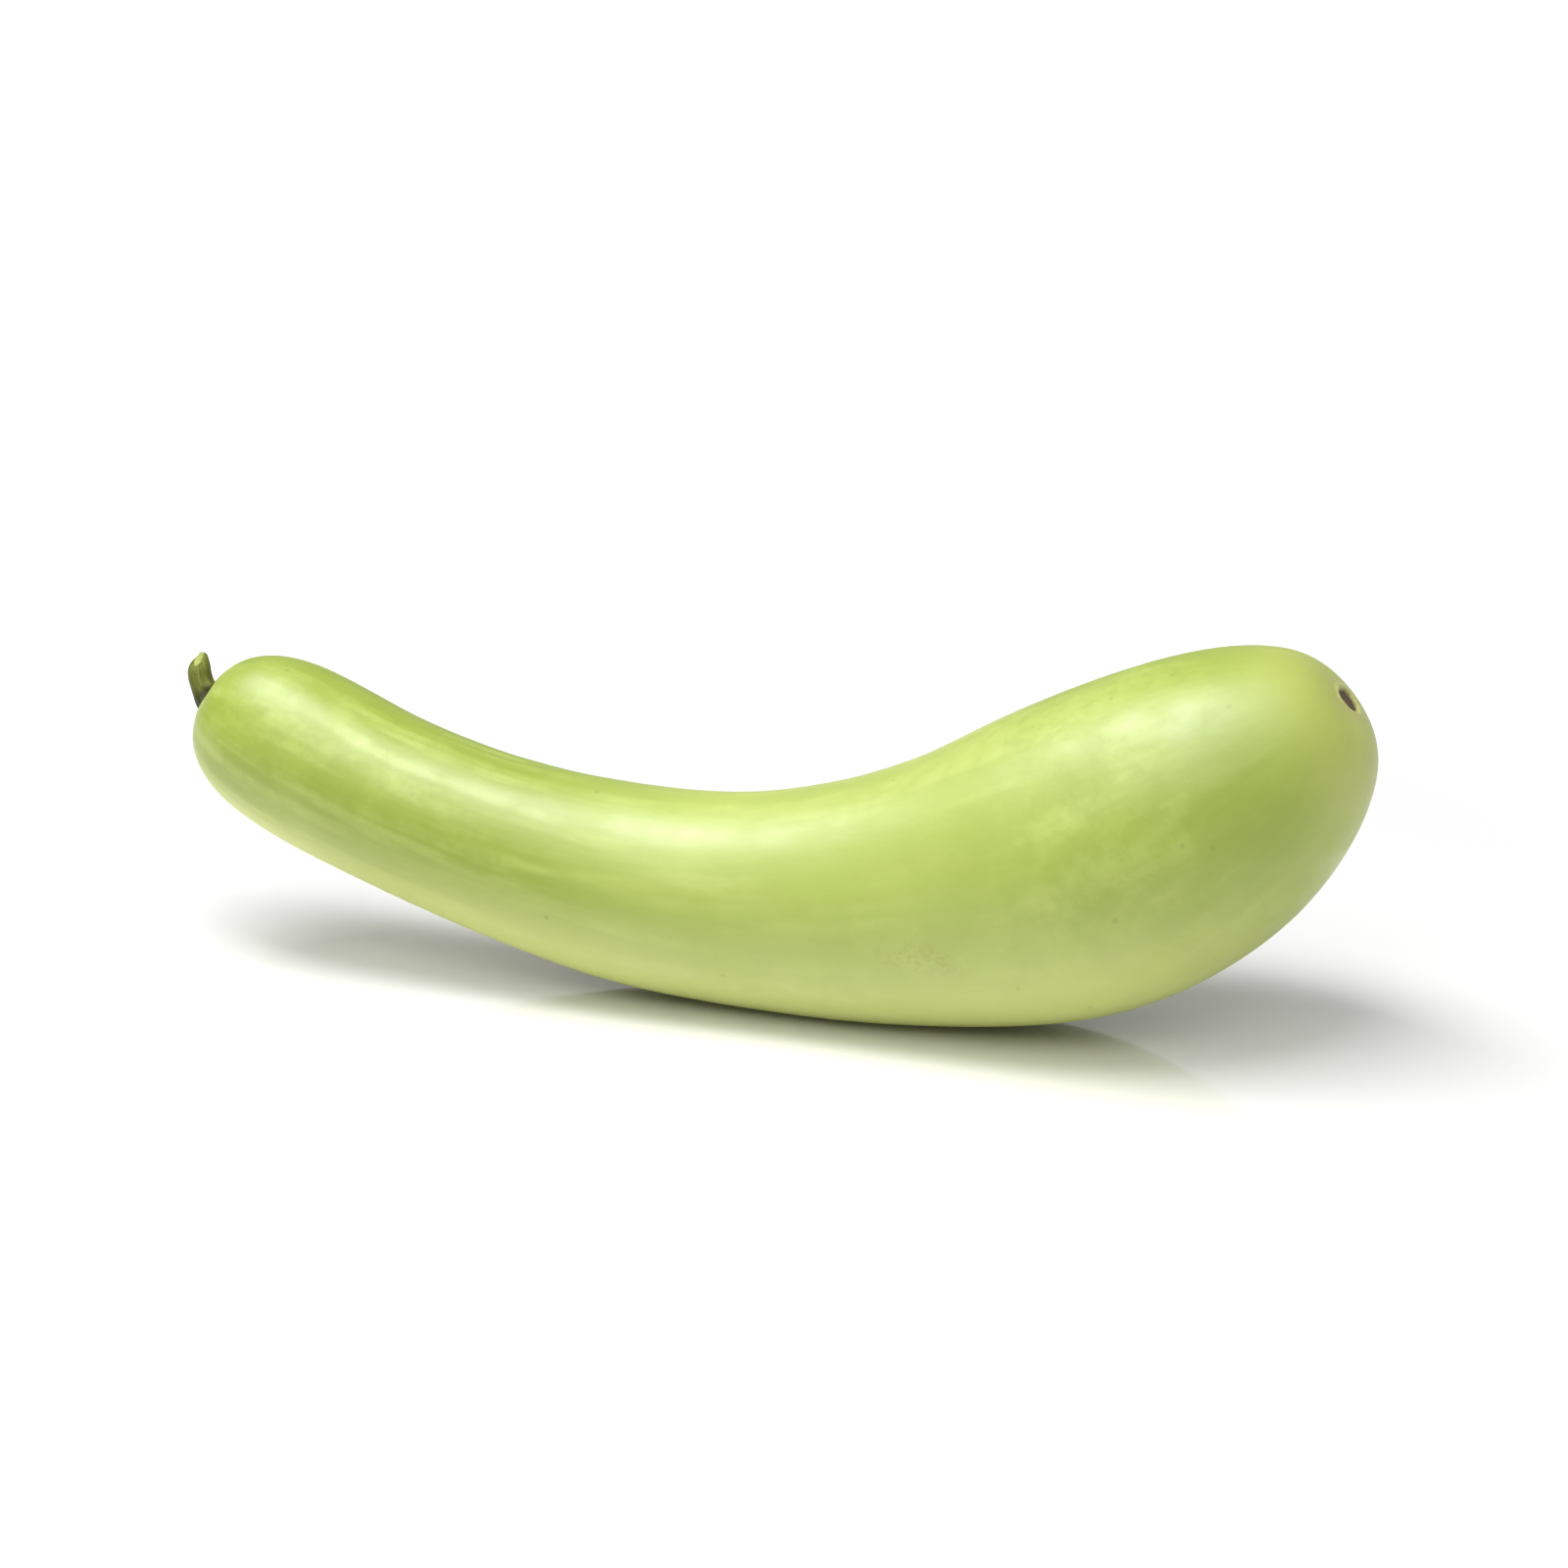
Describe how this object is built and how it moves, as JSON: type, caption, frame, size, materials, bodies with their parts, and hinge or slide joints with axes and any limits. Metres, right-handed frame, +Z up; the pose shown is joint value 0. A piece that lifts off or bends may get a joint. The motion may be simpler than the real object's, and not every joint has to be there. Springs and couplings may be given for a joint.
{
  "type": "bottle gourd",
  "caption": "Long curved bottle gourd with a slim head, a swollen belly, a blossom scar and a short ridged stalk, lying on a small flat spot.",
  "frame": {"origin": "middle of the small flat spot under the belly that the gourd rests on", "axes": "+Z up; +X along the gourd from the stalk to the blossom end; -Y is the side that the scar end turns towards"},
  "size_m": [0.3673, 0.0951, 0.1184],
  "materials": {
    "skin": "smooth waxy satin gourd skin, pale yellow-green with faint lengthwise streaks",
    "stalk": "fibrous green-brown stalk, dull, darker at its foot"
  },
  "bodies": {
    "root": {"gourd_fruit": "skin", "stem": "stalk"}
  },
  "joints": []
}
